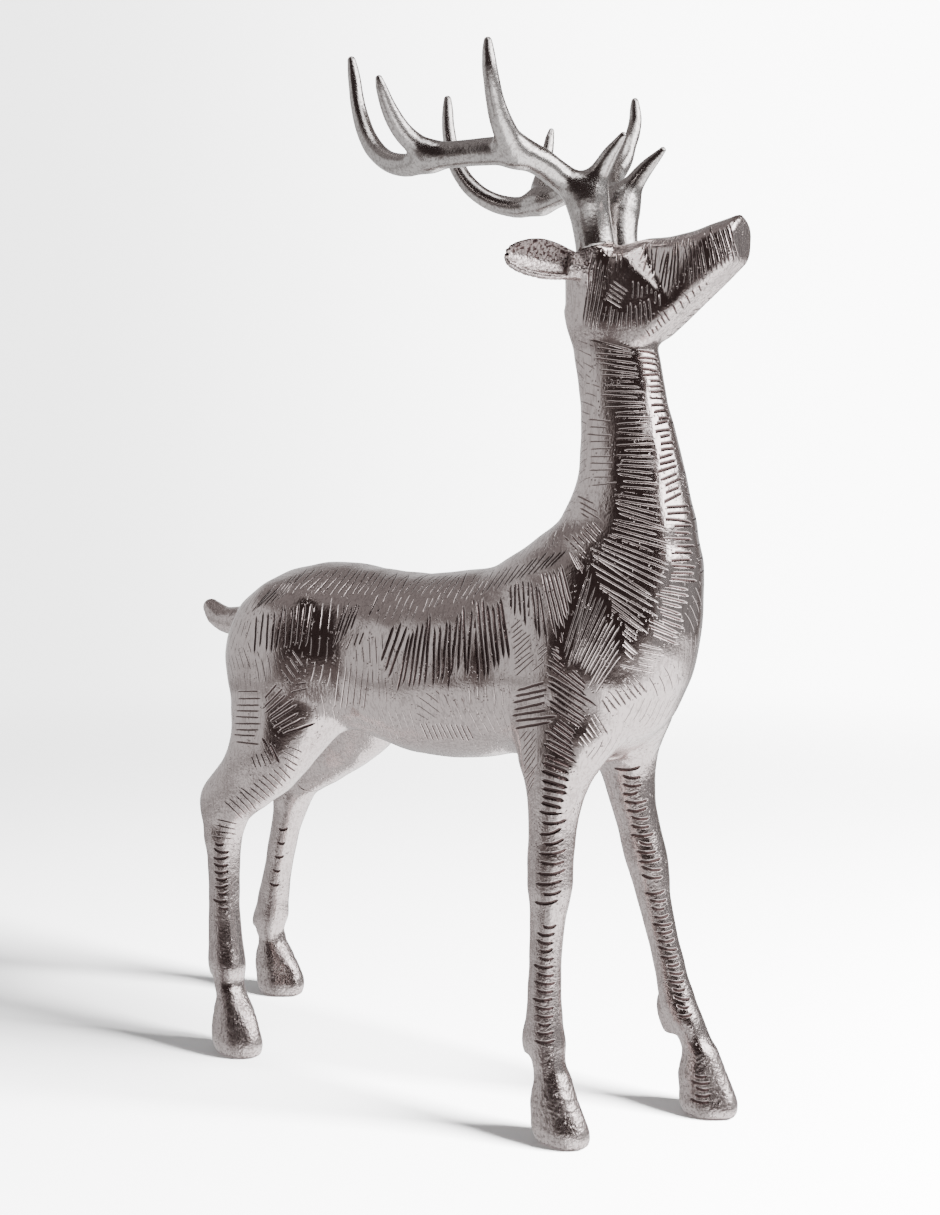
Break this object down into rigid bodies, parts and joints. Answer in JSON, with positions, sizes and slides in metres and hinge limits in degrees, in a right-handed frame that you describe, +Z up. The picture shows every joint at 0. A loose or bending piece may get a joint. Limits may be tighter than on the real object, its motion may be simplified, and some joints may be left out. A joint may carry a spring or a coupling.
{
  "type": "reindeer figurine",
  "caption": "Standing reindeer with a raised head and branching antlers, cast in aluminium with hand-chased strokes, for a shelf, hearth or table.",
  "frame": {"origin": "middle of the bounding box's underside, in the plane of the hooves' soles", "axes": "+X is the way the deer faces, +Y is its left, +Z is up"},
  "size_m": [0.3368, 0.1528, 0.5224],
  "materials": {
    "polished_aluminium": "polished cast aluminium, chased with short strokes and finely pitted",
    "satin_aluminium": "smooth cast aluminium, sand-blasted to a satin"
  },
  "bodies": {
    "root": {"body": "polished_aluminium", "antler_right": "satin_aluminium", "antler_left": "satin_aluminium"}
  },
  "joints": []
}
